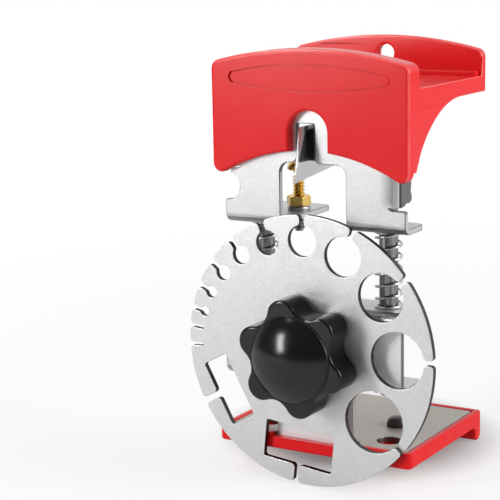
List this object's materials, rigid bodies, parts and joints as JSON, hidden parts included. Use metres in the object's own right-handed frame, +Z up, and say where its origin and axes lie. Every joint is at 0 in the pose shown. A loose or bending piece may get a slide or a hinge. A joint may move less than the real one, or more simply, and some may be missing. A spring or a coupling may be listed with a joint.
{
  "type": "cable stripping machine",
  "caption": "Hand-held cable stripping machine: a sprung blade carriage on guide rods over a turning disc of graded cable holes, held by a star knob.",
  "frame": {"origin": "middle of the part's length and width, on the lowest point of the selector disc", "axes": "+X to the right seen from the knob, +Y from the knob to the back, +Z up along the guide rods"},
  "size_m": [0.088, 0.076, 0.1404],
  "materials": {
    "red_plastic": "moulded plastic, satin gloss",
    "sheet_steel": "zinc-plated sheet, satin",
    "disc_steel": "fine-grained satin steel",
    "blade_steel": "ground steel",
    "rod_steel": "drawn bright steel",
    "spring_steel": "bright spring wire",
    "dark_steel": "dull zinc",
    "black_plastic": "glossy moulded plastic",
    "brass": "turned brass"
  },
  "bodies": {
    "base": {"base_grip": "red_plastic", "lower_bracket": "sheet_steel", "disc_spacer": "dark_steel", "axle_nut": "dark_steel", "return_spring_left": "spring_steel", "return_spring_right": "spring_steel"},
    "carriage": {"top_handle": "red_plastic", "blade_bracket": "sheet_steel", "blade_holder": "sheet_steel", "blade": "blade_steel", "blade_screw": "dark_steel", "blade_washer": "dark_steel", "blade_nut": "dark_steel", "guide_rod_left": "rod_steel", "guide_rod_right": "rod_steel", "rod_collars": "dark_steel", "rod_clips": "dark_steel"},
    "disc": {"selector_disc": "disc_steel"},
    "washer": {"knob_washer": "dark_steel"},
    "knob": {"star_knob": "black_plastic", "knob_bolt": "dark_steel"},
    "stop_screw": {"depth_screw": "brass"},
    "stop_nut": {"depth_lock_nut": "brass"}
  },
  "joints": [
    {"name": "carriage_slide", "type": "slide", "parent": "base", "child": "carriage", "axis": [0, 0, 1], "range_m": [-0.016, 0], "stiffness_N_per_m": 900, "springref_m": 0.008, "deforming": ["return_spring_left", "return_spring_right"]},
    {"name": "disc_turn", "type": "hinge", "parent": "base", "child": "disc", "pos_m": [0, -0.0204, 0.044], "axis": [0, -1, 0], "continuous": true},
    {"name": "washer_shift", "type": "slide", "parent": "base", "child": "washer", "axis": [0, -1, 0], "range_m": [0, 0.0015]},
    {"name": "knob_turn", "type": "hinge", "parent": "washer", "child": "knob", "pos_m": [0, -0.0274, 0.044], "axis": [0, -1, 0], "range_deg": [0, 540.5]},
    {"name": "depth_screw_shift", "type": "slide", "parent": "carriage", "child": "stop_screw", "axis": [0, 0, 1], "range_m": [-0.0035, 0.0045]},
    {"name": "lock_nut_turn", "type": "hinge", "parent": "carriage", "child": "stop_nut", "pos_m": [-0.016, 0.0031, 0.088], "axis": [0, 0, 1], "range_deg": [0, 360]}
  ],
  "couplings": [
    {"joint": "knob_turn", "follows": "washer_shift", "rad_per_m": 6283.2}
  ]
}
